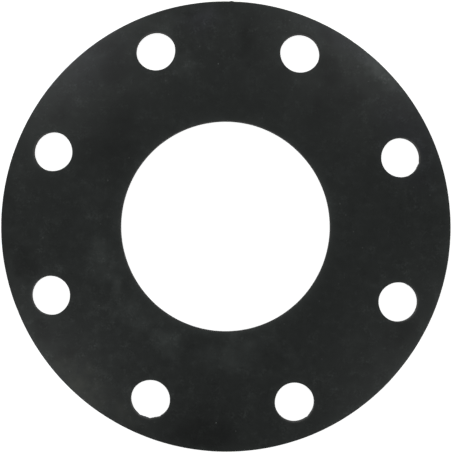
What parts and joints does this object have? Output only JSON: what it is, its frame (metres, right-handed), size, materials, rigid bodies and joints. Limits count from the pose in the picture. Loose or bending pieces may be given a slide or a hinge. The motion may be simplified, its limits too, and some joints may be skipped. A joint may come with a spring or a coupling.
{
  "type": "rubber flange gasket",
  "caption": "Flat full-face rubber flange gasket: a thin black ring with a central pipe bore and a circle of bolt holes through it.",
  "frame": {"origin": "on the bore axis, at the underside that the gasket lies on", "axes": "+Z along the bore axis, out of the upper face; +X midway between two bolt holes, so the holes straddle X and Y"},
  "size_m": [0.2272, 0.2272, 0.0032],
  "materials": {
    "rubber": "matt black calendered sheet, faintly clouded, with a die-cut edge"
  },
  "bodies": {
    "root": {"gasket": "rubber"}
  },
  "joints": []
}
